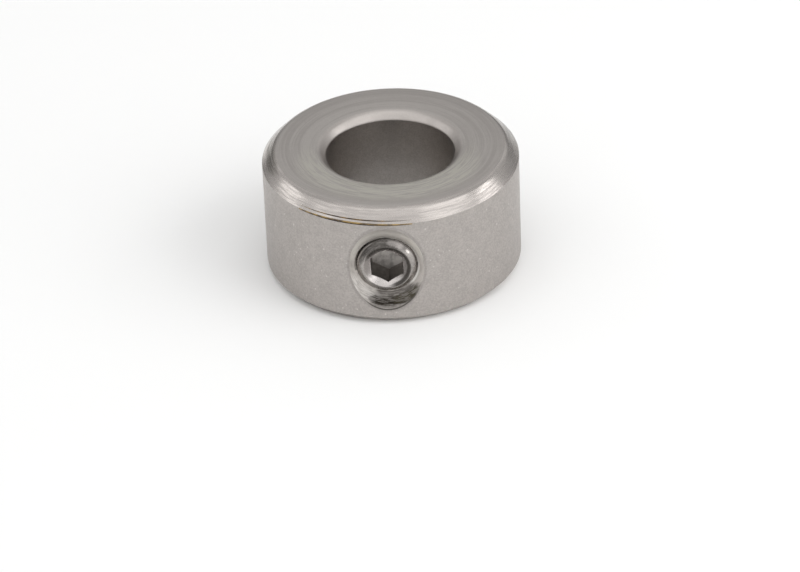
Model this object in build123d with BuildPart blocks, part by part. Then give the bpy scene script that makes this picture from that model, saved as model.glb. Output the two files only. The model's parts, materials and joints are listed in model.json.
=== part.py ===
from build123d import *
from math import cos, radians, tan
import os

# Set-screw shaft collar: a turned ring and the hexagon-socket set screw that clamps it.
# The bore axis is +Z, the ring stands on Z = 0 and the screw's socket faces -Y.

# Driving dimensions of the ring, in millimetres
bore_diameter = 10.0
collar_diameter = 20.0
collar_width = 10.0
upper_edge_chamfer = 1.0
lower_edge_chamfer = 0.6
bore_mouth_chamfer = 0.6
bore_mouth_blend = 0.7

# Driving dimensions of the tapped hole, drawn plain at the major diameter of its M5 thread
thread_diameter = 5.0
hole_mouth_flare = 1.1
hole_mouth_angle = 120.0

# Driving dimensions of the set screw, drawn plain at the crests of its thread
screw_length = 4.0
screw_recess = 0.25
thread_clearance = 0.04
socket_end_chamfer = 0.4
cup_rim_diameter = 2.5
cup_angle = 120.0

# Driving dimensions of the hexagon socket in the screw's outer end
across_flats = 2.5
socket_mouth_margin = 0.3
socket_mouth_angle = 120.0
socket_floor_angle = 145.0
web_behind_socket = 0.8
socket_turn = 2.5

# Sizes that follow from the driving dimensions
bore_radius = bore_diameter / 2
collar_radius = collar_diameter / 2
hole_radius = thread_diameter / 2
screw_radius = hole_radius - thread_clearance
cup_rim_radius = cup_rim_diameter / 2
cup_depth = cup_rim_radius / tan(radians(cup_angle / 2))
socket_radius = across_flats / 2
socket_corner_radius = socket_radius / cos(radians(30))
socket_floor_depth = socket_radius / tan(radians(socket_floor_angle / 2))
socket_depth = screw_length - cup_depth - web_behind_socket - socket_floor_depth

# The screw's axis meets the ring's outside half way up; each plane faces outwards along it
hole_mouth = Plane(
    origin=(0, -collar_radius, collar_width / 2), x_dir=(1, 0, 0), z_dir=(0, -1, 0)
)
socket_end = hole_mouth.offset(-screw_recess)
socket_floor = socket_end.offset(-socket_depth)
cup_end = socket_end.offset(-screw_length)

# Turned ring
with BuildPart() as collar_ring:
    with BuildSketch(Plane.XZ):
        with Locations((bore_radius, 0)):
            Rectangle(collar_radius - bore_radius, collar_width, align=Align.MIN)
        chamfer(vertices().group_by(Axis.X)[0], bore_mouth_chamfer)
        fillet(vertices().group_by(Axis.Y)[0].sort_by(Axis.X)[0], bore_mouth_blend)
        fillet(vertices().group_by(Axis.Y)[-1].sort_by(Axis.X)[0], bore_mouth_blend)
        chamfer(vertices().group_by(Axis.X)[-1].sort_by(Axis.Y)[0], lower_edge_chamfer)
        chamfer(vertices().group_by(Axis.X)[-1].sort_by(Axis.Y)[-1], upper_edge_chamfer)
    revolve(axis=Axis.Z)

    # Tapped hole from the outside into the bore, with its flared mouth
    with Locations(hole_mouth):
        CounterSinkHole(
            radius=hole_radius,
            counter_sink_radius=hole_radius + hole_mouth_flare,
            depth=collar_radius,
            counter_sink_angle=hole_mouth_angle,
        )

# Set screw
with BuildPart() as set_screw:
    with BuildSketch(socket_end):
        Circle(screw_radius)
    extrude(amount=-screw_length)

    # Chamfered socket end, and the taper down to the rim of the cup
    chamfer(edges().filter_by(GeomType.CIRCLE).sort_by(Axis.Y)[0], socket_end_chamfer)
    chamfer(edges().filter_by(GeomType.CIRCLE).sort_by(Axis.Y)[-1], screw_radius - cup_rim_radius)

    # Cup that bites the shaft
    with Locations(cup_end):
        Cone(
            bottom_radius=cup_rim_radius,
            top_radius=0,
            height=cup_depth,
            align=(Align.CENTER, Align.CENTER, Align.MIN),
            mode=Mode.SUBTRACT,
        )

    # Round socket mouth and pilot hole, then the hexagon pressed into it and its conical floor
    with Locations(socket_end):
        CounterSinkHole(
            radius=socket_radius,
            counter_sink_radius=socket_corner_radius + socket_mouth_margin,
            depth=socket_depth,
            counter_sink_angle=socket_mouth_angle,
        )
    with BuildSketch(socket_end):
        RegularPolygon(socket_radius, 6, major_radius=False, rotation=90 + socket_turn)
    extrude(amount=-socket_depth, mode=Mode.SUBTRACT)
    with Locations(socket_floor):
        Cone(
            bottom_radius=0,
            top_radius=socket_radius,
            height=socket_floor_depth,
            align=(Align.CENTER, Align.CENTER, Align.MAX),
            mode=Mode.SUBTRACT,
        )

# One STEP file for each piece
collar_ring.part.label = "collar_ring"
set_screw.part.label = "set_screw"
os.makedirs("parts", exist_ok=True)
export_step(collar_ring.part, "parts/collar_ring.step")
export_step(set_screw.part, "parts/set_screw.step")
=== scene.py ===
"""The looks of a set-screw shaft collar: a turned steel ring and the set screw in it.

Meshes are shaped in millimetres, with the bore's axis on Z and the ring standing on Z = 0,
and are turned into metres when they are finished.
"""

import json
import logging
from collections.abc import Callable
from dataclasses import dataclass, field
from enum import Enum
from math import cos, floor, hypot, pi, radians, sin, sqrt, tan

import bmesh
import bpy
from bmesh.types import BMesh, BMEdge, BMFace
from bpy.types import Material, NodeOutputs, NodeSocket, Object, ShaderNode, ShaderNodeTree
from mathutils import Matrix, Vector


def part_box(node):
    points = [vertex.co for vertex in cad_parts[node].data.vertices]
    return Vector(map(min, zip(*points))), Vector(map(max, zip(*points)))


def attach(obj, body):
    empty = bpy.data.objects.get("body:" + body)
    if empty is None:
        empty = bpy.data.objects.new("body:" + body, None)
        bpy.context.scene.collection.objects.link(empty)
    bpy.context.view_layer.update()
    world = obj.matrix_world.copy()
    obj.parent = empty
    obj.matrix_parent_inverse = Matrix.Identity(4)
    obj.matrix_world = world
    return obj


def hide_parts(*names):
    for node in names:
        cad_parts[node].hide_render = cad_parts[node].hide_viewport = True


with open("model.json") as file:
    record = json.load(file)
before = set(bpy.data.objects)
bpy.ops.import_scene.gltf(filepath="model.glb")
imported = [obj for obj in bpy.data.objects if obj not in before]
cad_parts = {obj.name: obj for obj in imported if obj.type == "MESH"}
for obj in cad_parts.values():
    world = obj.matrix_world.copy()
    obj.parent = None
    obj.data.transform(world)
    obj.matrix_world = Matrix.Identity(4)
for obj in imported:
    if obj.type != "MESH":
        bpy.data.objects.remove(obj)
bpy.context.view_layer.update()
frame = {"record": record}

log = logging.getLogger("collar")

METRES_PER_MM = 0.001
MM_PER_METRE = 1000.0
METRES_PER_MICROMETRE = 1e-6
MERGE_DISTANCE = 3e-4
LEVEL_WITHIN = 1e-4
SHARP_ANGLE = radians(28)
CHAMFER_ANGLE = radians(45)
EVEN_NORMALS_WEIGHT = 50
TOOL_FACETS = 256

Colour = tuple[float, float, float]

SPECK_COLOUR: Colour = (0.85, 0.83, 0.8)
TONE_RANGE = (0.38, 0.62)


class Carve(Enum):
    """What a tool does to the body it meets."""

    CUT = "DIFFERENCE"
    KEEP = "INTERSECT"
    JOIN = "UNION"


class Lay(Enum):
    """Which way the tool marks of a machined surface run."""

    ROUND_BORE = "round the bore's axis"
    ROUND_SCREW = "round the screw's axis"
    NONE = "no direction"


class RingZone(Enum):
    """The ring's surfaces that were made by different tools, in the order of its materials."""

    OUTSIDE = 0
    END_FACE = 1
    CHAMFER = 2
    BORE_MOUTH = 3
    BORE = 4
    COUNTERSINK = 5
    TAPPED_HOLE = 6
    STEP = 7
    STEP_FLOOR = 8


class ScrewZone(Enum):
    """The screw's surfaces that look different, in the order of its materials."""

    END = 0
    THREAD = 1
    SOCKET_MOUTH = 2
    SOCKET = 3
    SOCKET_FLOOR = 4


def node_size_mm(node: str) -> tuple[Vector, Vector]:
    """A CAD node's lowest and highest corner.

    Args:
        node: the node's name in the frame.

    Returns:
        The two corners, in millimetres.
    """
    low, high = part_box(node)
    return low * MM_PER_METRE, high * MM_PER_METRE


def bore_radius_mm() -> float:
    """The bore's radius as the record's mount gives it."""
    mounts = {mount["name"]: mount for mount in frame["record"]["mounts"]}
    return mounts["bore"]["dims"]["r_mm"]


def revolve(section: list[tuple[float, float]], steps: int, closed: bool = True) -> BMesh:
    """Turns a section once round the Z axis.

    Args:
        section: (radius, height) of each corner, in order.
        steps: facets in the full turn.
        closed: whether the last corner joins the first one away from the axis.

    Returns:
        The closed mesh, with its faces pointing outwards.
    """
    shape = bmesh.new()
    corners = [shape.verts.new((radius, 0, height)) for radius, height in section]
    followers = corners[1:] + corners[:1] if closed else corners[1:]
    sides = [shape.edges.new(pair) for pair in zip(corners, followers)]
    bmesh.ops.spin(
        shape, geom=corners + sides, cent=(0, 0, 0), axis=(0, 0, 1), dvec=(0, 0, 0),
        angle=2 * pi, steps=steps, use_merge=True, use_duplicate=False,
    )
    bmesh.ops.remove_doubles(shape, verts=shape.verts, dist=MERGE_DISTANCE)
    bmesh.ops.recalc_face_normals(shape, faces=shape.faces)
    return shape


def along_screw(height: float) -> Matrix:
    """Lays what was made on the Z axis along the screw's axis, pointing out, at a height."""
    return Matrix.Translation((0, 0, height)) @ Matrix.Rotation(pi / 2, 4, "X")


def loop_at(shape: BMesh, radius: float, height: float) -> list[BMEdge]:
    """The edges of the circle at one radius and height of a turned mesh.

    Args:
        shape: the turned mesh.
        radius: the circle's radius.
        height: the circle's height.

    Returns:
        The circle's edges.
    """
    reach = 10 * MERGE_DISTANCE

    def on_circle(point: Vector) -> bool:
        """Whether a point lies on the circle."""
        return abs(hypot(point.x, point.y) - radius) < reach and abs(point.z - height) < reach

    return [edge for edge in shape.edges if all(on_circle(vert.co) for vert in edge.verts)]


def round_edges(shape: BMesh, edges: list[BMEdge], offset: float, segments: int = 4) -> None:
    """Rounds edges off.

    Args:
        shape: the mesh.
        edges: the edges to round.
        offset: how far the rounding reaches along each face.
        segments: facets across the rounding.
    """
    bmesh.ops.bevel(
        shape, geom=edges, offset=offset, offset_type="OFFSET", segments=segments,
        profile=0.5, affect="EDGES", clamp_overlap=False, loop_slide=True, material=-1,
    )


def make_object(name: str, shape: BMesh) -> Object:
    """Puts a mesh into the scene and frees it.

    Args:
        name: the object's name.
        shape: the mesh, in millimetres.

    Returns:
        The new object, at the origin.
    """
    mesh = bpy.data.meshes.new(name)
    shape.to_mesh(mesh)
    shape.free()
    piece = bpy.data.objects.new(name, mesh)
    bpy.context.scene.collection.objects.link(piece)
    return piece


def apply_modifiers(piece: Object) -> None:
    """Turns what an object's modifiers show into its own mesh.

    Args:
        piece: the object, which keeps no modifier.
    """
    graph = bpy.context.evaluated_depsgraph_get()
    finished = bpy.data.meshes.new_from_object(
        piece.evaluated_get(graph), preserve_all_data_layers=True, depsgraph=graph
    )
    piece.modifiers.clear()
    before, piece.data = piece.data, finished
    bpy.data.meshes.remove(before)


def carve(body: Object, tool: BMesh, action: Carve) -> None:
    """Cuts a tool's shape out of a body, keeps only what lies inside it, or joins it on.

    Args:
        body: the object that changes.
        tool: the tool's closed mesh, which is used up.
        action: cut, keep or join.
    """
    cutter = make_object("cutter", tool)
    step = body.modifiers.new("carve", "BOOLEAN")
    step.operation = action.value
    step.solver = "EXACT"
    step.object = cutter
    apply_modifiers(body)
    leftover = cutter.data
    bpy.data.objects.remove(cutter)
    bpy.data.meshes.remove(leftover)


def finish_mesh(piece: Object) -> None:
    """Brings a shaped piece to metres, with smooth surfaces and crisp edges.

    Args:
        piece: the object, whose mesh is in millimetres.
    """
    piece.data.transform(Matrix.Scale(METRES_PER_MM, 4))
    piece.data.shade_smooth()
    piece.data.set_sharp_from_angle(angle=SHARP_ANGLE)
    even = piece.modifiers.new("even_normals", "WEIGHTED_NORMAL")
    even.mode = "FACE_AREA"
    even.weight = EVEN_NORMALS_WEIGHT
    even.keep_sharp = True
    apply_modifiers(piece)


@dataclass(frozen=True)
class ScrewThread:
    """A right-hand thread, sizes in millimetres and its flanks' angle in degrees."""

    pitch: float
    crest_radius: float
    depth: float
    phase: float = 0.14
    crest_share: float = 0.125
    half_angle: float = 30.0
    spare_turns: int = 2
    steps: int = 144

    def rod(self, start: float, end: float) -> BMesh:
        """A threaded rod on the Z axis with flat ends.

        Args:
            start: height of its lower end.
            end: height of its upper end.

        Returns:
            The closed mesh. Its thread passes the X axis at the height of the phase, so that
            a rod and its hole mesh wherever they start.
        """
        root_radius = self.crest_radius - self.depth
        crest = self.pitch * self.crest_share
        flank = self.depth * tan(radians(self.half_angle))
        turns = int((end - start) / self.pitch) + 2 * self.spare_turns + 1
        first_turn = floor((start - self.phase) / self.pitch) - self.spare_turns
        base = self.phase + self.pitch * first_turn
        shape = bmesh.new()
        corners = []
        for turn in range(turns):
            foot = base + turn * self.pitch
            corners += [
                shape.verts.new((self.crest_radius, 0, foot)),
                shape.verts.new((self.crest_radius, 0, foot + crest)),
                shape.verts.new((root_radius, 0, foot + crest + flank)),
                shape.verts.new((root_radius, 0, foot + self.pitch - flank)),
            ]
        corners.append(shape.verts.new((self.crest_radius, 0, base + turns * self.pitch)))
        sides = [shape.edges.new(pair) for pair in zip(corners, corners[1:])]
        bmesh.ops.spin(
            shape, geom=corners + sides, cent=(0, 0, 0), axis=(0, 0, 1),
            dvec=(0, 0, self.pitch / self.steps), angle=2 * pi, steps=self.steps,
            use_merge=False, use_duplicate=False,
        )
        bmesh.ops.remove_doubles(shape, verts=shape.verts, dist=MERGE_DISTANCE)
        for height, up in ((start, -1), (end, 1)):
            bmesh.ops.bisect_plane(
                shape, geom=shape.verts[:] + shape.edges[:] + shape.faces[:],
                plane_co=(0, 0, height), plane_no=(0, 0, up), clear_outer=True,
            )
            rim = [edge for edge in shape.edges if edge.is_boundary
                   and all(abs(vert.co.z - height) < LEVEL_WITHIN for vert in edge.verts)]
            bmesh.ops.contextual_create(shape, geom=rim)
        bmesh.ops.recalc_face_normals(shape, faces=shape.faces)
        return shape


class NodeBench:
    """Lays out and joins the nodes of one node tree."""

    def __init__(self, tree: bpy.types.NodeTree) -> None:
        """Keeps the tree that the nodes go into."""
        self.tree = tree

    def add(self, kind: str, inputs: dict | None = None, **settings: object) -> ShaderNode:
        """Adds a node.

        Args:
            kind: the node's type.
            inputs: for each input by name or number, a socket to join or a value to set.
            settings: the node's own settings.

        Returns:
            The node.
        """
        node = self.tree.nodes.new(kind)
        for name, value in settings.items():
            setattr(node, name, value)
        for key, value in (inputs or {}).items():
            if isinstance(value, NodeSocket):
                self.tree.links.new(value, node.inputs[key])
            else:
                node.inputs[key].default_value = value
        return node

    def math(self, operation: str, *values: NodeSocket | float) -> NodeSocket:
        """Adds a Math node.

        Args:
            operation: what it works out.
            values: its inputs, in order.

        Returns:
            Its output.
        """
        return self.add("ShaderNodeMath", dict(enumerate(values)), operation=operation).outputs[0]

    def vector(self, operation: str, inputs: dict, output: int | str = 0) -> NodeSocket:
        """Adds a Vector Math node.

        Args:
            operation: what it works out.
            inputs: for each input by name or number, a socket to join or a value to set.
            output: which of its outputs is wanted.

        Returns:
            That output.
        """
        return self.add("ShaderNodeVectorMath", inputs, operation=operation).outputs[output]

    def about_axis(self, place: NodeSocket) -> tuple[NodeSocket, NodeSocket, NodeSocket]:
        """Splits a place into what it is about the Z axis.

        Args:
            place: the place.

        Returns:
            Its distance and direction from the axis, and its height.
        """
        flat = self.vector("MULTIPLY", {0: place, 1: (1, 1, 0)})
        height = self.add("ShaderNodeSeparateXYZ", {0: place}).outputs["Z"]
        return self.vector("LENGTH", {0: flat}, "Value"), self.vector("NORMALIZE", {0: flat}), height

    def blend(self, first: NodeSocket, second: NodeSocket, share: float) -> NodeSocket:
        """Blends two values.

        Args:
            first: a value.
            second: another.
            share: the second value's share, from 0 to 1.

        Returns:
            The blended value.
        """
        return self.math("MULTIPLY_ADD", second, share, self.math("MULTIPLY", first, 1 - share))

    def remap(self, value: NodeSocket, low: NodeSocket | float,
              high: NodeSocket | float) -> NodeSocket:
        """Stretches a range of values smoothly onto 0 to 1.

        Args:
            value: what is stretched.
            low: what becomes 0.
            high: what becomes 1.

        Returns:
            The stretched value, kept from 0 to 1.
        """
        inputs = {0: value, 1: low, 2: high}
        return self.add("ShaderNodeMapRange", inputs, interpolation_type="SMOOTHSTEP").outputs[0]

    def noise(self, place: NodeSocket, scale: float, detail: float = 2.0,
              roughness: float = 0.5) -> NodeSocket:
        """Adds a Noise Texture.

        Args:
            place: where it is read.
            scale: how fine it is.
            detail: how many finer layers it has.
            roughness: how strong those are.

        Returns:
            Its value, about 0.5.
        """
        inputs = {"Vector": place, "Scale": scale, "Detail": detail, "Roughness": roughness}
        return self.add("ShaderNodeTexNoise", inputs, noise_dimensions="3D").outputs[0]

    def mix_colour(self, factor: NodeSocket, first: NodeSocket | Colour,
                   second: NodeSocket | Colour) -> NodeSocket:
        """Mixes two colours.

        Args:
            factor: 0 gives the first and 1 the second.
            first: a colour or a socket.
            second: a colour or a socket.

        Returns:
            The mixed colour.
        """
        mix = self.add("ShaderNodeMix", {0: factor}, data_type="RGBA")
        for key, value in ((6, first), (7, second)):
            if isinstance(value, NodeSocket):
                self.tree.links.new(value, mix.inputs[key])
            else:
                mix.inputs[key].default_value = (*value, 1.0)
        return mix.outputs[2]


class SharedGroup:
    """A node group that the materials share. Its Position is in millimetres."""

    NAME = ""
    VECTORS: tuple[str, ...] = ("Position",)
    VALUES: tuple[str, ...] = ()
    OUTPUTS: tuple[str, ...] = ()

    @classmethod
    def group(cls) -> ShaderNodeTree:
        """The group, made the first time it is asked for.

        Returns:
            The group.
        """
        found = bpy.data.node_groups.get(cls.NAME)
        if found:
            return found
        tree = bpy.data.node_groups.new(cls.NAME, "ShaderNodeTree")
        for labels, kind in ((cls.VECTORS, "NodeSocketVector"), (cls.VALUES, "NodeSocketFloat")):
            for label in labels:
                tree.interface.new_socket(label, in_out="INPUT", socket_type=kind)
        for label in cls.OUTPUTS:
            tree.interface.new_socket(label, in_out="OUTPUT", socket_type="NodeSocketFloat")
        given = tree.nodes.new("NodeGroupInput").outputs
        sent = tree.nodes.new("NodeGroupOutput").inputs
        for label, value in cls.lay_out(NodeBench(tree), given).items():
            tree.links.new(value, sent[label])
        return tree

    @classmethod
    def lay_out(cls, bench: NodeBench, given: NodeOutputs) -> dict[str, NodeSocket]:
        """Lays out the group's own nodes.

        Args:
            bench: the group's nodes.
            given: the group's inputs by name.

        Returns:
            The group's outputs by name.
        """
        raise NotImplementedError


class ToolMarks(SharedGroup):
    """Marks that a cutting tool leaves round Position's Z: fine rings that start and stop."""

    NAME = "tool_marks"
    VALUES = ("Rings per mm", "Break-up")
    OUTPUTS = ("Height", "Tone")
    RINGS_PER_HEIGHT = -0.7
    COARSE_SHARE = 0.4

    @classmethod
    def lay_out(cls, bench: NodeBench, given: NodeOutputs) -> dict[str, NodeSocket]:
        """Lays out the rings.

        Args:
            bench: the group's nodes.
            given: the group's inputs by name.

        Returns:
            The group's outputs by name.
        """
        radius, heading, height = bench.about_axis(given["Position"])
        spread = bench.vector("SCALE", {0: heading, "Scale": given["Break-up"]})
        across = bench.math("MULTIPLY_ADD", height, cls.RINGS_PER_HEIGHT, radius)
        track = bench.math("MULTIPLY", across, given["Rings per mm"])
        lift = bench.add("ShaderNodeCombineXYZ", {"Z": track}).outputs[0]
        place = bench.vector("ADD", {0: spread, 1: lift})
        fine = bench.noise(place, scale=1.0, detail=3.0, roughness=0.7)
        coarse = bench.noise(place, scale=0.22, detail=1.0)
        both = bench.blend(fine, coarse, cls.COARSE_SHARE)
        return {"Height": fine, "Tone": bench.remap(both, *TONE_RANGE)}


class Grain(SharedGroup):
    """The fine, even grain of tumbled or ground steel, with a few light specks."""

    NAME = "steel_grain"
    VALUES = ("Grains per mm",)
    OUTPUTS = ("Height", "Tone", "Specks")
    PATCH_SHARE = 0.25
    CELL_SCALE = 0.42

    @classmethod
    def lay_out(cls, bench: NodeBench, given: NodeOutputs) -> dict[str, NodeSocket]:
        """Lays out the grain and the specks.

        Args:
            bench: the group's nodes.
            given: the group's inputs by name.

        Returns:
            The group's outputs by name.
        """
        place = bench.vector("SCALE", {0: given["Position"], "Scale": given["Grains per mm"]})
        fine = bench.noise(place, scale=1.0, detail=3.0, roughness=0.6)
        patches = bench.noise(place, scale=0.2, detail=2.0)
        both = bench.blend(fine, patches, cls.PATCH_SHARE)
        cells = bench.add("ShaderNodeTexVoronoi", {"Vector": place, "Scale": cls.CELL_SCALE},
                          feature="F1").outputs["Distance"]
        rare = bench.remap(bench.noise(place, scale=0.3), low=0.58, high=0.64)
        dots = bench.remap(cells, low=0.3, high=0.15)
        return {"Height": fine, "Tone": bench.remap(both, *TONE_RANGE),
                "Specks": bench.math("MULTIPLY", dots, rare)}


class PaintedShadingMask(SharedGroup):
    """The mask of painted shade or highlight: a ragged ring, or an arc that thins towards its ends,
    round Position's Z.
    """

    NAME = "painted_shading_mask"
    VECTORS = ("Position", "Heading")
    VALUES = ("Radius", "Half width", "Slope", "Arc start", "Arc end", "Raggedness", "Streakiness")
    OUTPUTS = ("Mask",)
    LEAST_WIDTH = 1e-4
    STREAKS_ACROSS = 11.0
    STREAKS_AROUND = (3, 3, 3)

    @classmethod
    def lay_out(cls, bench: NodeBench, given: NodeOutputs) -> dict[str, NodeSocket]:
        """Lays out the ring or arc, its ragged edges and the streaks in it.

        Args:
            bench: the group's nodes.
            given: the group's inputs by name.

        Returns:
            The group's outputs by name.
        """
        place = given["Position"]
        radius, around, height = bench.about_axis(place)
        fall = bench.math("MULTIPLY", given["Slope"], -1.0)
        across = bench.math("MULTIPLY_ADD", height, fall, radius)
        wander = bench.math("SUBTRACT", bench.noise(place, scale=3.5, detail=3.0), 0.5)
        ragged = bench.math("MULTIPLY", given["Raggedness"], wander)
        beyond = bench.math("SUBTRACT", bench.math("ADD", across, ragged), given["Radius"])
        off = bench.math("ABSOLUTE", beyond)
        facing = bench.vector("DOT_PRODUCT", {0: around, 1: given["Heading"]}, "Value")
        arc = bench.remap(facing, given["Arc start"], given["Arc end"])
        width = bench.math("MULTIPLY_ADD", arc, given["Half width"], cls.LEAST_WIDTH)
        band = bench.remap(bench.math("DIVIDE", off, width), low=1.0, high=0.35)
        lift = bench.add("ShaderNodeCombineXYZ",
                         {"Z": bench.math("MULTIPLY", across, cls.STREAKS_ACROSS)}).outputs[0]
        along = bench.vector("MULTIPLY_ADD", {0: around, 1: cls.STREAKS_AROUND, 2: lift})
        grain = bench.noise(along, scale=1.0, detail=3.0, roughness=0.6)
        gaps = bench.remap(grain, low=0.53, high=0.43)
        streaks = bench.math("SUBTRACT", 1.0, bench.math("MULTIPLY", gaps, given["Streakiness"]))
        return {"Mask": bench.math("MULTIPLY", bench.math("MULTIPLY", band, arc), streaks)}


@dataclass(frozen=True)
class PaintedShading:
    """A ring or arc of painted shade or painted highlight, laid over the steel's colour.

    Lengths are in millimetres. The heading is in degrees: from +X towards +Y round the bore, and
    from right towards up as seen from outside round the screw. The arc fades in between two
    cosines of the angle from its heading. With a slope, the radius is read where the line of that
    slope through the surface reaches height 0 on the axis.
    """

    colour: Colour
    radius: float
    half_width: float
    strength: float = 1.0
    heading: float = 0.0
    arc_start: float = -3.0
    arc_end: float = -2.0
    slope: float = 0.0
    raggedness: float = 0.0
    streakiness: float = 0.0
    lay: Lay = Lay.ROUND_SCREW

    def over(self, bench: NodeBench, colour: NodeSocket, place: NodeSocket) -> NodeSocket:
        """Lays the trace over a colour.

        Args:
            bench: the material's nodes.
            colour: the colour below.
            place: the place in millimetres, with the trace's axis on Z.

        Returns:
            The colour with the trace on it.
        """
        angle = radians(self.heading)
        mask = bench.add("ShaderNodeGroup", {
            "Position": place, "Heading": (cos(angle), sin(angle), 0), "Radius": self.radius,
            "Half width": self.half_width, "Slope": self.slope, "Arc start": self.arc_start,
            "Arc end": self.arc_end, "Raggedness": self.raggedness,
            "Streakiness": self.streakiness,
        }, node_tree=PaintedShadingMask.group())
        share = bench.math("MULTIPLY", mask.outputs["Mask"], self.strength)
        return bench.mix_colour(share, colour, self.colour)


@dataclass(frozen=True)
class SteelFinish:
    """How one surface of bare steel looks.

    Depths are in micrometres and counts are per millimetre.
    """

    name: str
    colour: Colour
    dark_colour: Colour
    roughness: float
    roughness_spread: float = 0.06
    lay: Lay = Lay.NONE
    rings_per_mm: float = 5.0
    ring_depth: float = 0.0
    ring_break_up: float = 2.0
    ring_tone: float = 0.5
    grains_per_mm: float = 6.0
    grain_depth: float = 0.0
    speck_strength: float = 0.0
    anisotropy: float = 0.0
    screw_height: float = 0.0
    # Rings and arcs of painted shade and painted highlight laid over the colour.
    painted_shading: tuple[PaintedShading, ...] = ()

    def material(self) -> Material:
        """Makes the finish's material.

        Returns:
            The material.
        """
        material = bpy.data.materials.new(self.name)
        material.use_nodes = True
        tree = material.node_tree
        tree.nodes.clear()
        bench = NodeBench(tree)
        steel = bench.add("ShaderNodeBsdfPrincipled", {
            "Metallic": 1.0, "Anisotropic": self.anisotropy, "Anisotropic Rotation": 0.25,
        })
        seen = bench.add("ShaderNodeOutputMaterial")
        tree.links.new(steel.outputs[0], seen.inputs[0])
        place = self.position(bench)
        turned = {lay: self.turned_position(bench, place, lay)
                  for lay in {self.lay, *(trace.lay for trace in self.painted_shading)}}

        marks = bench.add("ShaderNodeGroup", {
            "Position": turned[self.lay], "Rings per mm": self.rings_per_mm,
            "Break-up": self.ring_break_up,
        }, node_tree=ToolMarks.group())
        grain = bench.add("ShaderNodeGroup", {
            "Position": place, "Grains per mm": self.grains_per_mm,
        }, node_tree=Grain.group())

        ring_share = 0.0 if self.lay is Lay.NONE else self.ring_tone
        tone = bench.blend(grain.outputs["Tone"], marks.outputs["Tone"], ring_share)
        colour = bench.mix_colour(tone, self.dark_colour, self.colour)
        if self.speck_strength:
            specks = bench.math("MULTIPLY", grain.outputs["Specks"], self.speck_strength)
            colour = bench.mix_colour(specks, colour, SPECK_COLOUR)
        # Painted shade and painted highlights go over the steel's colour here.
        for trace in self.painted_shading:
            colour = trace.over(bench, colour, turned[trace.lay])
        tree.links.new(colour, steel.inputs["Base Color"])
        rough = bench.math("MULTIPLY_ADD", tone, -self.roughness_spread,
                           self.roughness + self.roughness_spread / 2)
        tree.links.new(rough, steel.inputs["Roughness"])
        self.add_relief(bench, marks, grain, steel)
        return material

    def position(self, bench: NodeBench) -> NodeSocket:
        """The place on the piece, in millimetres."""
        where = bench.add("ShaderNodeTexCoord").outputs["Object"]
        return bench.add("ShaderNodeMapping", {"Vector": where, "Scale": (MM_PER_METRE,) * 3},
                         vector_type="POINT").outputs[0]

    def turned_position(self, bench: NodeBench, place: NodeSocket, lay: Lay) -> NodeSocket:
        """The place with the axis that the tool went round on Z.

        Args:
            bench: the material's nodes.
            place: the place on the piece, in millimetres.
            lay: which axis that is.

        Returns:
            The turned place.
        """
        if lay is not Lay.ROUND_SCREW:
            return place
        moved = {"Vector": place, "Location": (0, -self.screw_height, 0), "Rotation": (-pi / 2, 0, 0)}
        return bench.add("ShaderNodeMapping", moved, vector_type="POINT").outputs[0]

    def add_relief(self, bench: NodeBench, marks: ShaderNode, grain: ShaderNode,
                   steel: ShaderNode) -> None:
        """Joins the relief of the rings and the grain to the shader.

        Args:
            bench: the material's nodes.
            marks: the tool marks' group node.
            grain: the grain's group node.
            steel: the shader.
        """
        normal = None
        for height, depth in ((marks.outputs["Height"], self.ring_depth),
                              (grain.outputs["Height"], self.grain_depth)):
            if not depth:
                continue
            relief = {"Strength": 1.0, "Distance": depth * METRES_PER_MICROMETRE, "Height": height}
            bump = bench.add("ShaderNodeBump", relief)
            if normal:
                bench.tree.links.new(normal, bump.inputs["Normal"])
            normal = bump.outputs[0]
        if normal:
            bench.tree.links.new(normal, steel.inputs["Normal"])


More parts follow.
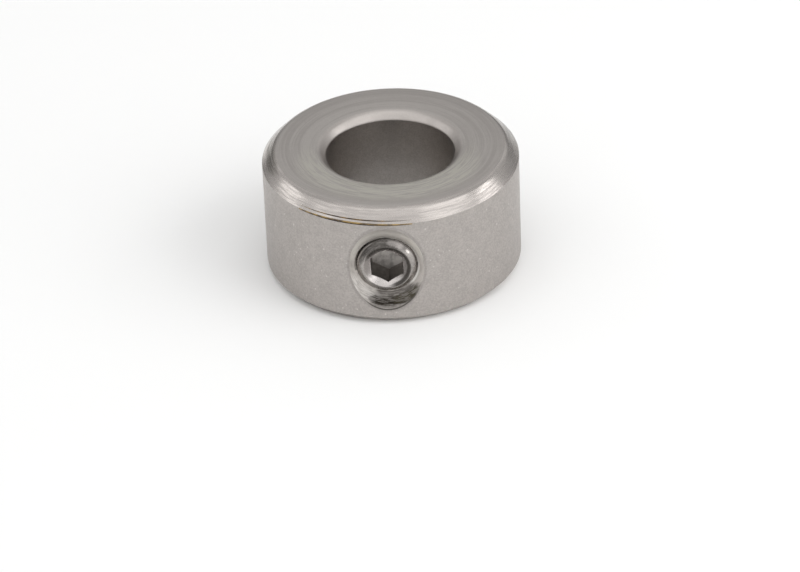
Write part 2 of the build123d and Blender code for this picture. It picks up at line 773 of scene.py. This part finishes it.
@dataclass
class CollarRing:
    """The turned ring, sizes in millimetres."""

    radius: float
    width: float
    bore_radius: float
    upper_chamfer: float = 1.0
    lower_chamfer: float = 0.6
    bore_chamfer: float = 0.6
    bore_blend: float = 0.7
    bore_edge: float = 0.25
    chamfer_edge: float = 0.8
    foot_edge: float = 0.12
    flare: float = 1.1
    flare_angle: float = 120.0
    thread: ScrewThread = field(default_factory=lambda: ScrewThread(0.8, 2.5, 0.14))
    step_azimuth: float = -15.0
    step_offset: float = 0.65
    step_depths: tuple[tuple[float, float], ...] = ((-0.02, 0.12), (0.31, 0.05))
    facets: int = 720

    @property
    def mid(self) -> float:
        """Height of the screw's axis."""
        return self.width / 2

    @property
    def flare_slope(self) -> float:
        """How much wider the flared mouth gets for each millimetre outwards."""
        return tan(radians(self.flare_angle / 2))

    def step_cutter(self, along: float, depth: float) -> BMesh:
        """What an off-centre tool shaves from the foot of the upper chamfer.

        Args:
            along: distance of the groove's middle from the chamfer's foot, up the chamfer.
            depth: how deep the groove is where it is deepest.

        Returns:
            The closed mesh.
        """
        slant = sqrt(0.5)
        reach = 0.5
        start = self.radius - (along + depth) * slant + self.step_offset
        foot = self.width - self.upper_chamfer + (along - depth) * slant
        tool = revolve([(start, foot), (start + reach, foot), (start, foot + reach)], self.facets)
        azimuth = radians(self.step_azimuth)
        away = Vector((-sin(azimuth), cos(azimuth), 0)) * self.step_offset
        bmesh.ops.translate(tool, vec=away, verts=tool.verts)
        return tool

    def turned_body(self) -> BMesh:
        """The ring before its hole is drilled.

        Returns:
            The closed mesh.
        """
        bore, outer, top = self.bore_radius, self.radius, self.width
        shape = revolve([
            (bore, self.bore_chamfer), (bore, top - self.bore_chamfer),
            (bore + self.bore_chamfer, top), (outer - self.upper_chamfer, top),
            (outer, top - self.upper_chamfer), (outer, self.lower_chamfer),
            (outer - self.lower_chamfer, 0), (bore + self.bore_chamfer, 0),
        ], self.facets)
        bend = tan(CHAMFER_ANGLE / 2)
        for radius, height, rounding in (
            (bore + self.bore_chamfer, top, self.bore_blend),
            (bore + self.bore_chamfer, 0, self.bore_blend),
            (bore, top - self.bore_chamfer, self.bore_edge),
            (bore, self.bore_chamfer, self.bore_edge),
            (outer - self.upper_chamfer, top, self.chamfer_edge),
            (outer - self.lower_chamfer, 0, self.foot_edge),
            (outer, self.lower_chamfer, self.foot_edge),
        ):
            round_edges(shape, loop_at(shape, radius, height), rounding * bend, segments=5)
        levels = 14
        for level in range(1, levels):
            bmesh.ops.bisect_plane(
                shape, geom=shape.verts[:] + shape.edges[:] + shape.faces[:],
                plane_co=(0, 0, top * level / levels), plane_no=(0, 0, 1),
            )
        return shape

    def tap(self) -> BMesh:
        """What the drill and tap remove."""
        inside, outside = 2.0, 1.0
        tool = self.thread.rod(self.bore_radius - inside, self.radius + outside)
        bmesh.ops.transform(tool, matrix=along_screw(self.mid), verts=tool.verts)
        return tool

    def countersink(self) -> BMesh:
        """What the countersink removes."""
        wide = self.thread.crest_radius + self.flare
        beyond = 1.0
        tool = revolve([
            (0, self.radius - wide / self.flare_slope),
            (wide + beyond * self.flare_slope, self.radius + beyond), (0, self.radius + beyond),
        ], TOOL_FACETS, closed=False)
        bmesh.ops.transform(tool, matrix=along_screw(self.mid), verts=tool.verts)
        return tool

    def zone(self, face: BMFace) -> RingZone:
        """Which tool made a face.

        Args:
            face: a face of the finished ring, in millimetres.

        Returns:
            The face's zone.
        """
        near, level, mouth_width = 0.02, 0.93, 1.5
        centre, normal = face.calc_center_median(), face.normal
        reach = hypot(centre.x, centre.y)
        at_foot = self.foot_zone(centre, normal)
        if at_foot is not None:
            return at_foot
        if abs(reach - self.radius) < near and self.on_outside(centre, normal):
            return RingZone.OUTSIDE
        if centre.y < 0 and reach > self.bore_radius + near and self.in_hole(centre, normal):
            inside = self.from_screw(centre) < self.thread.crest_radius + near
            deep = -centre.y < self.radius - self.flare / self.flare_slope
            return RingZone.TAPPED_HOLE if inside and deep else RingZone.COUNTERSINK
        if reach < self.bore_radius + near:
            return RingZone.BORE
        if abs(normal.z) > level:
            return RingZone.END_FACE
        in_mouth = reach < self.bore_radius + mouth_width
        return RingZone.BORE_MOUTH if in_mouth else RingZone.CHAMFER

    def foot_zone(self, centre: Vector, normal: Vector) -> RingZone | None:
        """Which zone a face at the foot of the upper chamfer belongs to, where the steps are.

        Args:
            centre: the face's middle.
            normal: the face's direction.

        Returns:
            The zone, or None where the face is of the outside or lies elsewhere.
        """
        below, inwards = 0.12, 0.45
        on_slope, above, cut_in = 0.012, 0.02, 0.004
        rising, level, floor_height = 0.5, 0.9, 0.05
        reach = hypot(centre.x, centre.y)
        foot = self.width - self.upper_chamfer
        if centre.z <= foot - below or reach <= self.radius - inwards:
            return None
        if abs(self.radius + foot - reach - centre.z) < on_slope and normal.z > rising:
            return RingZone.CHAMFER
        if centre.z > foot + above or reach < self.radius - cut_in:
            lowest = normal.z > level and centre.z < foot + floor_height
            return RingZone.STEP_FLOOR if lowest else RingZone.STEP
        return None

    def from_screw(self, centre: Vector) -> float:
        """How far a point is from the screw's axis, seen along it."""
        return hypot(centre.x, centre.z - self.mid)

    def on_outside(self, centre: Vector, normal: Vector) -> bool:
        """Whether a face at the outer radius is of the round outside, and not of the hole."""
        hole_reach, upright, square_on = 2.0, 0.3, 0.985
        off_hole = centre.y > 0 or self.from_screw(centre) > hole_reach
        outwards = Vector((centre.x, centre.y, 0)).normalized()
        return off_hole and abs(normal.z) < upright and outwards.dot(normal) > square_on

    def in_hole(self, centre: Vector, normal: Vector) -> bool:
        """Whether a face lies in the screw's hole or its flared mouth."""
        past_rim, facing_axis = 0.05, 0.2
        if self.from_screw(centre) > self.thread.crest_radius + self.flare + past_rim:
            return False
        inwards = Vector((-centre.x, 0, self.mid - centre.z)).normalized()
        return normal.dot(inwards) > facing_axis

    def finishes(self) -> dict[RingZone, SteelFinish]:
        """The finish of each zone."""
        rim = self.thread.crest_radius + self.flare - self.flare_slope * self.radius
        return {
            RingZone.OUTSIDE: SteelFinish(
                "tumbled_outside", (0.48, 0.448, 0.426), (0.41, 0.383, 0.364), 0.46,
                grains_per_mm=7.0, grain_depth=4.0, speck_strength=0.35, screw_height=self.mid,
                # Painted shade: a dark ring round the flared hole's rim and a darker arc below it, for
                # the rounded edge's shading.
                painted_shading=(
                    PaintedShading((0.16, 0.15, 0.14), rim + 0.1, 0.28, 0.25, slope=self.flare_slope,
                          raggedness=0.1),
                    PaintedShading((0.05, 0.045, 0.04), rim + 0.05, 0.12, 0.8, heading=-80,
                          arc_start=0.65, arc_end=0.9, slope=self.flare_slope),
                ),
            ),
            RingZone.END_FACE: SteelFinish(
                "turned_end_face", (0.50, 0.47, 0.445), (0.405, 0.376, 0.355), 0.36,
                lay=Lay.ROUND_BORE, rings_per_mm=6.0, ring_depth=2.5, ring_break_up=1.0,
                ring_tone=0.7, grains_per_mm=9.0, grain_depth=0.7, anisotropy=0.6,
                # Painted sheen: the front of the end face is painted lighter, where it catches more
                # light.
                painted_shading=(
                    PaintedShading((0.66, 0.645, 0.56), 6.4, 2.2, 0.55, heading=-90, arc_start=-0.3,
                          arc_end=0.7, streakiness=0.9, lay=Lay.ROUND_BORE),
                ),
            ),
            RingZone.CHAMFER: SteelFinish(
                "bright_turned_chamfer", (0.56, 0.521, 0.493), (0.42, 0.39, 0.37), 0.25,
                roughness_spread=0.2, lay=Lay.ROUND_BORE, rings_per_mm=6.0, ring_depth=5.0,
                ring_break_up=5.0, ring_tone=0.85, grains_per_mm=9.0, grain_depth=1.0,
                anisotropy=0.3,
                # Painted dark reflections: streaky dark arcs on the chamfer at the left and at the
                # right behind.
                painted_shading=(
                    PaintedShading((0.17, 0.155, 0.13), 9.35, 0.5, 0.75, heading=181, arc_start=0.88,
                          arc_end=0.985, raggedness=0.1, streakiness=0.6, lay=Lay.ROUND_BORE),
                    PaintedShading((0.20, 0.185, 0.17), 9.5, 0.7, 0.65, heading=17, arc_start=0.93,
                          arc_end=0.985, raggedness=0.1, streakiness=0.4, lay=Lay.ROUND_BORE),
                ),
            ),
            RingZone.BORE_MOUTH: SteelFinish(
                "satin_bore_mouth", (0.53, 0.493, 0.466), (0.45, 0.418, 0.396), 0.38,
                lay=Lay.ROUND_BORE, rings_per_mm=3.0, ring_depth=1.0, ring_tone=0.7,
                grains_per_mm=9.0, grain_depth=0.5,
            ),
            RingZone.BORE: SteelFinish(
                "reamed_bore", (0.61, 0.575, 0.55), (0.52, 0.49, 0.465), 0.32,
                grains_per_mm=8.0, grain_depth=3.0,
            ),
            RingZone.COUNTERSINK: SteelFinish(
                "drilled_flare", (0.54, 0.50, 0.47), (0.38, 0.355, 0.33), 0.45,
                lay=Lay.ROUND_SCREW, rings_per_mm=6.0, ring_depth=6.0, ring_tone=0.8,
                grains_per_mm=8.0, grain_depth=3.0, screw_height=self.mid,
                # Painted highlights and painted shade in the flared mouth: lighter at the top and
                # lower left, a bright line at the upper right, dark arcs low down.
                painted_shading=(
                    PaintedShading((0.74, 0.71, 0.66), 2.6, 1.0, 0.75, heading=90, arc_start=-0.1,
                          arc_end=0.6, streakiness=0.2),
                    PaintedShading((0.95, 0.93, 0.89), 2.42, 0.12, 0.6, heading=45, arc_start=-0.3,
                          arc_end=0.2),
                    PaintedShading((0.11, 0.10, 0.09), 2.95, 0.8, 0.9, heading=-76, arc_start=0.62,
                          arc_end=0.88, raggedness=0.2, streakiness=0.5),
                    PaintedShading((0.76, 0.73, 0.70), 2.9, 0.6, 0.5, heading=226, arc_start=0.75,
                          arc_end=0.95, raggedness=0.2, streakiness=0.8),
                    PaintedShading((0.03, 0.025, 0.02), 3.1, 0.4, 0.95, heading=-90, arc_start=0.82,
                          arc_end=0.95, raggedness=0.3, streakiness=0.7),
                    PaintedShading((0.10, 0.09, 0.08), 2.46, 0.07, 0.8, heading=-86, arc_start=0.86,
                          arc_end=0.96, raggedness=0.05),
                    PaintedShading((0.075, 0.066, 0.045), 3.05, 0.4, 0.85, heading=-60, arc_start=0.88,
                          arc_end=0.97, raggedness=0.3, streakiness=0.6),
                ),
            ),
            RingZone.TAPPED_HOLE: SteelFinish(
                "tapped_thread", (0.30, 0.28, 0.255), (0.18, 0.165, 0.15), 0.35,
                lay=Lay.ROUND_SCREW, rings_per_mm=6.0, ring_depth=4.0, screw_height=self.mid,
            ),
            RingZone.STEP: SteelFinish(
                "brown_step", (0.50, 0.35, 0.15), (0.15, 0.125, 0.105), 0.5,
                grains_per_mm=1.2, grain_depth=2.0,
            ),
            # Near-black: partly the notch floor's own blue-black tint, partly painted shade under the
            # step.
            RingZone.STEP_FLOOR: SteelFinish(
                "dark_step_floor", (0.10, 0.10, 0.13), (0.03, 0.03, 0.05), 0.5,
                grains_per_mm=3.0, grain_depth=2.0,
            ),
        }

    def build(self) -> Object:
        """Makes the ring and puts it in the place of its CAD node.

        Returns:
            The ring.
        """
        ring = make_object("turned_ring", self.turned_body())
        for along, depth in self.step_depths:
            carve(ring, self.step_cutter(along, depth), Carve.CUT)
        carve(ring, self.tap(), Carve.CUT)
        carve(ring, self.countersink(), Carve.CUT)
        finishes = self.finishes()
        dress(ring, self.zone, [finishes[zone] for zone in RingZone])
        finish_mesh(ring)
        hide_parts("collar_ring")
        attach(ring, "collar")
        return ring


def dress(piece: Object, zone_of: Callable[[BMFace], Enum], finishes: list[SteelFinish]) -> None:
    """Gives each face of a piece the material of its zone.

    Args:
        piece: the object, whose mesh is in millimetres.
        zone_of: says which zone a face belongs to.
        finishes: the finishes, in the order of the zones.
    """
    piece.data.materials.clear()
    for finish in finishes:
        piece.data.materials.append(finish.material())
    shape = bmesh.new()
    shape.from_mesh(piece.data)
    shape.normal_update()
    for face in shape.faces:
        face.material_index = zone_of(face).value
    shape.to_mesh(piece.data)
    shape.free()


@dataclass
class SetScrew:
    """The hexagon-socket set screw, sizes in millimetres and heights outwards from the bore's axis."""

    end_height: float
    tip_height: float
    axis_height: float
    crest_radius: float
    end_chamfer: float = 0.56
    cup_rim_radius: float = 1.25
    cup_angle: float = 120.0
    across_flats: float = 2.5
    mouth_margin: float = 0.36
    mouth_angle: float = 120.0
    floor_angle: float = 145.0
    web: float = 0.8
    socket_turn: float = 2.5
    pitch: float = 0.8
    thread_slack: float = 0.13
    thread_depth: float = 0.36
    plain_length: float = 0.56
    mouth_edge: float = 0.05
    end_edge: float = 0.04
    cup_edge: float = 0.04

    @property
    def thread(self) -> ScrewThread:
        """The screw's thread, slack enough to slide past the hole's thread."""
        return ScrewThread(self.pitch, self.crest_radius - self.thread_slack, self.thread_depth)

    @property
    def socket_radius(self) -> float:
        """Half the socket's width across its flats."""
        return self.across_flats / 2

    @property
    def corner_radius(self) -> float:
        """Half the socket's width across its corners."""
        return self.socket_radius / cos(radians(30))

    @property
    def mouth_radius(self) -> float:
        """Radius of the socket's round mouth at the screw's end."""
        return self.corner_radius + self.mouth_margin

    @property
    def cup_depth(self) -> float:
        """Depth of the cup in the tip."""
        return self.cup_rim_radius / tan(radians(self.cup_angle / 2))

    @property
    def floor_depth(self) -> float:
        """Depth of the socket's conical floor."""
        return self.socket_radius / tan(radians(self.floor_angle / 2))

    @property
    def socket_bottom(self) -> float:
        """Height at which the socket's walls end."""
        return self.tip_height + self.cup_depth + self.web + self.floor_depth

    def envelope(self) -> BMesh:
        """The screw with its chamfers, cup and socket, and no thread or hexagon.

        Returns:
            The closed mesh on the Z axis.
        """
        margin = 0.2
        over = self.crest_radius + margin
        flat = self.crest_radius - self.end_chamfer
        mouth = self.mouth_radius
        inner = self.end_height - (mouth - self.socket_radius) / tan(radians(self.mouth_angle / 2))
        shape = revolve([
            (0, self.tip_height + self.cup_depth), (self.cup_rim_radius, self.tip_height),
            (over, self.tip_height + over - self.cup_rim_radius),
            (over, self.end_height - over + flat), (flat, self.end_height),
            (mouth, self.end_height), (self.socket_radius, inner),
            (self.socket_radius, self.socket_bottom), (0, self.socket_bottom - self.floor_depth),
        ], TOOL_FACETS, closed=False)
        cup_rim = loop_at(shape, self.cup_rim_radius, self.tip_height)
        round_edges(shape, loop_at(shape, mouth, self.end_height), self.mouth_edge)
        round_edges(shape, loop_at(shape, flat, self.end_height), self.end_edge)
        round_edges(shape, cup_rim, self.cup_edge, segments=3)
        return shape

    def plain_end(self) -> BMesh:
        """The short stretch at the socket's end that the thread doesn't reach.

        Returns:
            The closed mesh on the Z axis.
        """
        proud, beyond = 0.01, 0.7
        radius = self.thread.crest_radius + proud
        low, high = self.end_height - self.plain_length, self.end_height + beyond
        section = [(0, low), (radius, low), (radius, high), (0, high)]
        return revolve(section, TOOL_FACETS, closed=False)

    def broach(self) -> BMesh:
        """What the hexagonal punch removes.

        Returns:
            The closed mesh on the Z axis.
        """
        beyond = 1.0
        tall = self.end_height + beyond - self.socket_bottom
        tool = bmesh.new()
        stand = Matrix.Translation((0, 0, self.socket_bottom + tall / 2))
        turn = Matrix.Rotation(radians(self.socket_turn), 4, "Z")
        bmesh.ops.create_cone(
            tool, cap_ends=True, cap_tris=False, segments=6, radius1=self.corner_radius,
            radius2=self.corner_radius, depth=tall, matrix=stand @ turn,
        )
        return tool

    def zone(self, face: BMFace) -> ScrewZone:
        """Which part of the screw a face belongs to.

        Args:
            face: a face of the screw on the Z axis.

        Returns:
            The face's zone.
        """
        near, below_taper, mouth_depth = 0.02, 0.03, 0.5
        steep, rising, level = 0.2, 0.5, 0.95
        centre = face.calc_center_median()
        reach = hypot(centre.x, centre.y)
        lowest = self.socket_bottom - self.floor_depth
        if reach < self.mouth_radius - near and centre.z > lowest - near:
            if centre.z < self.socket_bottom + near and face.normal.z > rising:
                return ScrewZone.SOCKET_FLOOR
            near_end = centre.z > self.end_height - mouth_depth
            sloping = steep < face.normal.z < level and near_end
            return ScrewZone.SOCKET_MOUTH if sloping else ScrewZone.SOCKET
        root = self.thread.crest_radius - self.thread_depth
        taper = self.crest_radius - self.end_chamfer + self.end_height - reach
        if reach > root - near and centre.z < taper - below_taper:
            return ScrewZone.THREAD
        return ScrewZone.END

    def finishes(self) -> dict[ScrewZone, SteelFinish]:
        """The finish of each zone."""
        mouth = self.mouth_radius
        # Painted shade round the socket's mouth: a dark band inside it, open only towards the lower
        # left, and a dark line at its lower edge.
        painted_mouth_shade = PaintedShading((0.045, 0.04, 0.035), mouth - 0.1, 0.22, 0.9, heading=38,
                           arc_start=-0.75, arc_end=-0.2, raggedness=0.05)
        painted_mouth_line_shade = PaintedShading((0.10, 0.09, 0.085), mouth + 0.06, 0.12, 0.7, heading=254,
                           arc_start=0.75, arc_end=0.95, raggedness=0.05)
        return {
            ScrewZone.END: SteelFinish(
                "screw_end", (0.42, 0.395, 0.375), (0.30, 0.28, 0.265), 0.26,
                lay=Lay.ROUND_SCREW, rings_per_mm=3.0, ring_depth=3.0, grains_per_mm=5.0,
                grain_depth=3.0, screw_height=self.axis_height,
                # Painted shade and painted highlights on the screw's end: dark arcs round its edge,
                # lighter arcs at the upper right and upper left, a bright glint at the upper right.
                painted_shading=(
                    PaintedShading((0.075, 0.068, 0.062), 2.12, 0.45, 0.9, heading=114, arc_start=0.2,
                          arc_end=0.8, raggedness=0.3, streakiness=0.3),
                    PaintedShading((0.10, 0.09, 0.085), 2.31, 0.12, 0.85, heading=20, arc_start=0.5,
                          arc_end=0.85, raggedness=0.1),
                    PaintedShading((0.26, 0.245, 0.23), 2.15, 0.35, 0.7, heading=228, arc_start=0.7,
                          arc_end=0.92, raggedness=0.2, streakiness=0.2),
                    PaintedShading((0.50, 0.465, 0.445), 2.1, 0.2, 0.5, heading=70, arc_start=0.92,
                          arc_end=0.985, raggedness=0.1),
                    PaintedShading((0.50, 0.465, 0.445), 2.25, 0.07, 0.6, heading=152, arc_start=0.75,
                          arc_end=0.95, raggedness=0.05),
                    PaintedShading((1.0, 0.95, 0.9), 2.1, 0.09, 0.65, heading=39, arc_start=0.993,
                          arc_end=0.9995),
                    PaintedShading((0.02, 0.018, 0.015), 2.36, 0.1, 0.9, heading=132, arc_start=0.72,
                          arc_end=0.95, raggedness=0.05),
                    painted_mouth_line_shade,
                    painted_mouth_shade,
                ),
            ),
            ScrewZone.THREAD: SteelFinish(
                "rolled_thread", (0.40, 0.375, 0.355), (0.28, 0.26, 0.245), 0.3,
                grains_per_mm=6.0, grain_depth=2.0,
            ),
            ScrewZone.SOCKET_MOUTH: SteelFinish(
                "socket_mouth", (0.56, 0.52, 0.50), (0.46, 0.43, 0.41), 0.28,
                grains_per_mm=5.0, screw_height=self.axis_height,
                # Painted highlight and painted shade on the socket's sloping mouth: bright below, dark
                # at the left, right and top.
                painted_shading=(
                    PaintedShading((0.85, 0.80, 0.78), 1.55, 0.4, 0.8, heading=-98, arc_start=0.3,
                          arc_end=0.9),
                    PaintedShading((0.22, 0.20, 0.19), 1.55, 0.4, 0.8, heading=165, arc_start=0.4,
                          arc_end=0.95),
                    PaintedShading((0.10, 0.09, 0.085), 1.5, 0.4, 0.8, heading=10, arc_start=0.45,
                          arc_end=0.85),
                    PaintedShading((0.08, 0.07, 0.065), 1.6, 0.3, 0.9, heading=95, arc_start=0.35,
                          arc_end=0.8),
                    painted_mouth_line_shade,
                    painted_mouth_shade,
                ),
            ),
            ScrewZone.SOCKET: SteelFinish(
                "pressed_socket", (0.27, 0.25, 0.235), (0.20, 0.185, 0.175), 0.35,
                grains_per_mm=3.0, grain_depth=4.0,
            ),
            ScrewZone.SOCKET_FLOOR: SteelFinish(
                "socket_floor", (0.56, 0.53, 0.505), (0.34, 0.32, 0.305), 0.35,
                grains_per_mm=2.0, grain_depth=6.0, screw_height=self.axis_height,
                # Painted highlight: a bright spot on the socket's floor, towards the upper left.
                painted_shading=(
                    PaintedShading((0.95, 0.92, 0.85), 0.35, 0.3, 0.7, heading=150, arc_start=0.7,
                          arc_end=0.95),
                ),
            ),
        }

    def build(self) -> Object:
        """Makes the screw and puts it in the place of its CAD node.

        Returns:
            The screw.
        """
        beyond = 0.5
        rod = self.thread.rod(self.tip_height - beyond, self.end_height + beyond)
        screw = make_object("set_screw_threaded", rod)
        carve(screw, self.plain_end(), Carve.JOIN)
        carve(screw, self.envelope(), Carve.KEEP)
        carve(screw, self.broach(), Carve.CUT)
        finishes = self.finishes()
        dress(screw, self.zone, [finishes[zone] for zone in ScrewZone])
        screw.data.transform(along_screw(self.axis_height))
        finish_mesh(screw)
        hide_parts("set_screw")
        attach(screw, "screw")
        return screw


@dataclass(frozen=True)
class Softbox:
    """A rectangular soft light. Lengths are in metres, angles in degrees as compass() has them.

    A light that isn't seen in the steel lights the floor and gives no highlight.
    """

    name: str
    azimuth: float
    elevation: float
    distance: float
    width: float
    height: float
    radiance: float
    seen_in_steel: bool = True


SOFTBOXES = (
    Softbox("canopy", 3, 56, 0.6, 1.5, 0.75, 0.37),
    Softbox("right_front", 66, 46, 0.6, 0.42, 0.3, 0.52),
    Softbox("right_box", 103, 31, 0.6, 0.21, 0.16, 1.9),
    Softbox("right_low", 62, 8, 0.6, 0.7, 0.16, 1.0),
    Softbox("left_front", -76, 44, 0.6, 0.34, 0.25, 0.28),
    Softbox("left_box", -105, 30, 0.6, 0.26, 0.16, 0.95),
    Softbox("back_box", 184, 46, 0.6, 0.8, 0.36, 0.13),
    Softbox("top_box", 0, 90, 0.55, 0.5, 0.5, 0.25),
    Softbox("floor_box", 0, 90, 0.55, 0.5, 0.5, 1.2, seen_in_steel=False),
    Softbox("floor_right", 70, 35, 0.4, 0.3, 0.3, 1.4, seen_in_steel=False),
)


@dataclass
class Studio:
    """A pale floor, soft lights and the camera. Lengths are in metres, angles in degrees."""

    target: Vector
    azimuth: float = 3.7
    elevation: float = 31.62
    roll: float = 2.37
    distance: float = 0.346
    focal_pixels: float = 4420.0
    sensor_width: float = 36.0
    picture_width: float = 800.0
    picture_height: float = 572.0
    target_pixel_x: float = 392.24
    target_pixel_y: float = 200.60
    floor_size: float = 8.0
    floor_colour: Colour = (0.92, 0.92, 0.915)
    ambient: float = 0.6
    dark_ambient: float = 0.3
    boxes: tuple[Softbox, ...] = SOFTBOXES

    def compass(self, azimuth: float, elevation: float) -> Vector:
        """The direction towards something seen from the object.

        Args:
            azimuth: 0 is -Y and 90 is +X.
            elevation: above the horizon.

        Returns:
            The unit vector.
        """
        around, above = radians(azimuth), radians(elevation)
        return Vector((sin(around) * cos(above), -cos(around) * cos(above), sin(above)))

    def camera(self) -> Object:
        """Sets up the camera at the photograph's viewing angle.

        Returns:
            The camera.
        """
        back = self.compass(self.azimuth, self.elevation)
        level = Vector((cos(radians(self.azimuth)), sin(radians(self.azimuth)), 0))
        upright = back.cross(level)
        roll = radians(self.roll)
        right = level * cos(roll) - upright * sin(roll)
        up = level * sin(roll) + upright * cos(roll)
        place = self.target + back * self.distance
        metres_per_pixel = self.distance / self.focal_pixels
        across = (self.target_pixel_x - self.picture_width / 2) * metres_per_pixel
        above = (self.picture_height / 2 - self.target_pixel_y) * metres_per_pixel
        forward = (self.target - right * across - up * above - place).normalized()
        right = forward.cross(up).normalized()
        up = right.cross(forward)
        data = bpy.data.cameras.new("studio_camera")
        data.sensor_width = self.sensor_width
        data.lens = self.focal_pixels / self.picture_width * self.sensor_width
        data.clip_start = 0.01
        data.clip_end = 20.0
        camera = bpy.data.objects.new("studio_camera", data)
        bpy.context.scene.collection.objects.link(camera)
        turn = Matrix((right, up, -forward)).transposed().to_4x4()
        camera.matrix_world = Matrix.Translation(place) @ turn
        bpy.context.scene.camera = camera
        return camera

    def hang(self, box: Softbox) -> Object:
        """Hangs a soft light so that it faces the object.

        Args:
            box: the light's place, size and brightness.

        Returns:
            The light.
        """
        data = bpy.data.lights.new(box.name, "AREA")
        data.shape = "RECTANGLE"
        data.size = box.width
        data.size_y = box.height
        data.energy = box.radiance * pi * box.width * box.height
        light = bpy.data.objects.new(box.name, data)
        bpy.context.scene.collection.objects.link(light)
        towards = self.compass(box.azimuth, box.elevation)
        light.location = self.target + towards * box.distance
        light.rotation_euler = towards.to_track_quat("Z", "Y").to_euler()
        light.visible_camera = False
        light.visible_glossy = box.seen_in_steel
        return light

    def floor(self) -> Object:
        """Lays the pale floor.

        Returns:
            The floor.
        """
        shape = bmesh.new()
        bmesh.ops.create_grid(shape, x_segments=1, y_segments=1, size=self.floor_size / 2)
        floor = make_object("studio_floor", shape)
        material = bpy.data.materials.new("pale_floor")
        material.use_nodes = True
        paper = material.node_tree.nodes["Principled BSDF"]
        paper.inputs["Base Color"].default_value = (*self.floor_colour, 1)
        paper.inputs["Roughness"].default_value = 0.9
        paper.inputs["Specular IOR Level"].default_value = 0.1
        floor.data.materials.append(material)
        return floor

    def surroundings(self) -> None:
        """Fills the room with light, weaker low down behind. The camera sees plain white instead."""
        world = bpy.data.worlds.new("studio")
        bpy.context.scene.world = world
        world.use_nodes = True
        tree = world.node_tree
        tree.nodes.clear()
        bench = NodeBench(tree)
        looking = bench.add("ShaderNodeTexCoord").outputs["Generated"]
        axes = bench.add("ShaderNodeSeparateXYZ", {0: looking}).outputs
        behind = bench.remap(axes["Y"], low=0.35, high=0.75)
        low = bench.remap(axes["Z"], low=0.35, high=0.1)
        darker = bench.math("MULTIPLY", bench.math("MULTIPLY", behind, low),
                            self.dark_ambient - self.ambient)
        level = bench.math("ADD", darker, self.ambient)
        glow = bench.add("ShaderNodeBackground", {"Color": (1, 1, 1, 1), "Strength": level})
        white = bench.add("ShaderNodeBackground", {"Color": (1, 1, 1, 1), "Strength": 1.0})
        rays = bench.add("ShaderNodeLightPath").outputs["Is Camera Ray"]
        either = bench.add("ShaderNodeMixShader", {0: rays, 1: glow.outputs[0], 2: white.outputs[0]})
        bench.add("ShaderNodeOutputWorld", {0: either.outputs[0]})

    def build(self) -> None:
        """Sets up the whole studio."""
        bpy.context.scene.view_settings.view_transform = "Standard"
        self.camera()
        self.floor()
        self.surroundings()
        for box in self.boxes:
            self.hang(box)


def main() -> None:
    """Builds the studio and the collar's two pieces."""
    logging.basicConfig(level=logging.INFO, format="%(name)s: %(message)s")
    low, high = node_size_mm("collar_ring")
    tip_low, tip_high = node_size_mm("set_screw")
    ring = CollarRing(
        radius=(high.x - low.x) / 2, width=high.z - low.z, bore_radius=bore_radius_mm(),
    )
    Studio(target=Vector((0, 0, ring.mid * METRES_PER_MM))).build()
    screw = SetScrew(
        end_height=-tip_low.y, tip_height=-tip_high.y, axis_height=ring.mid,
        crest_radius=(tip_high.x - tip_low.x) / 2,
    )
    for piece in (ring.build(), screw.build()):
        piece.data.calc_loop_triangles()
        log.info("%s: %d triangles", piece.name, len(piece.data.loop_triangles))


if __name__ == "__main__":
    main()
